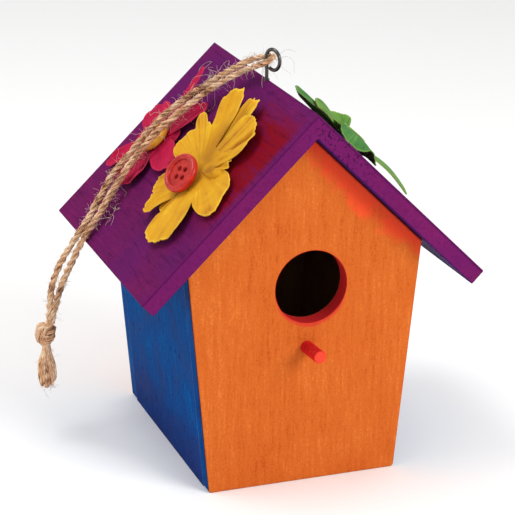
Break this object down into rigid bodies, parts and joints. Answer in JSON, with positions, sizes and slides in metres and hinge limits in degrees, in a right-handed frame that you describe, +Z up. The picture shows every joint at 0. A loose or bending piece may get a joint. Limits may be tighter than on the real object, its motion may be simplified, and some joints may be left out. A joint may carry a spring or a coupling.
{
  "type": "birdhouse",
  "caption": "Painted wooden craft birdhouse with a gable roof, round entrance, dowel perch, screw eye, jute hanging twine and glued cloth flowers with buttons.",
  "frame": {"origin": "the middle of the box's footprint, on the surface that the house stands on", "axes": "+X to the right seen from the front, +Y from the front to the back, +Z up"},
  "size_m": [0.1369, 0.1072, 0.1421],
  "materials": {
    "front_paint": "orange craft paint, brushed over pale wood",
    "side_paint": "teal blue craft paint, mottled",
    "bare_wood": "unpainted pale wood",
    "roof_paint": "purple craft paint with a dark red wash",
    "perch_paint": "coral red craft paint",
    "eye_steel": "bright zinc plated wire",
    "pin_steel": "plain wire",
    "jute": "hairy natural fibre",
    "yellow_cloth": "stiffened cloth petals",
    "pink_cloth": "stiffened cloth petals",
    "green_cloth": "stiffened cloth petals",
    "red_plastic": "glossy button resin",
    "yellow_plastic": "glossy button resin",
    "blue_plastic": "glossy button resin",
    "hot_glue": "clear milky glue"
  },
  "bodies": {
    "root": {"front_panel": "front_paint", "back_panel": "front_paint", "left_side": "side_paint", "right_side": "side_paint", "floor_panel": "bare_wood", "left_roof": "roof_paint", "right_roof": "roof_paint", "perch": "perch_paint", "screw_eye": "eye_steel", "wall_pins": "pin_steel", "floor_pins": "pin_steel", "roof_pins": "pin_steel", "hanging_twine": "jute", "twine_knot": "jute", "twine_tails": "jute", "yellow_flower_lower": "yellow_cloth", "yellow_flower_upper": "yellow_cloth", "red_button": "red_plastic", "pink_flower_lower": "pink_cloth", "pink_flower_upper": "pink_cloth", "yellow_button": "yellow_plastic", "green_flower_lower": "green_cloth", "green_flower_upper": "green_cloth", "blue_button": "blue_plastic", "flower_glue": "hot_glue", "button_glue": "hot_glue"}
  },
  "joints": []
}
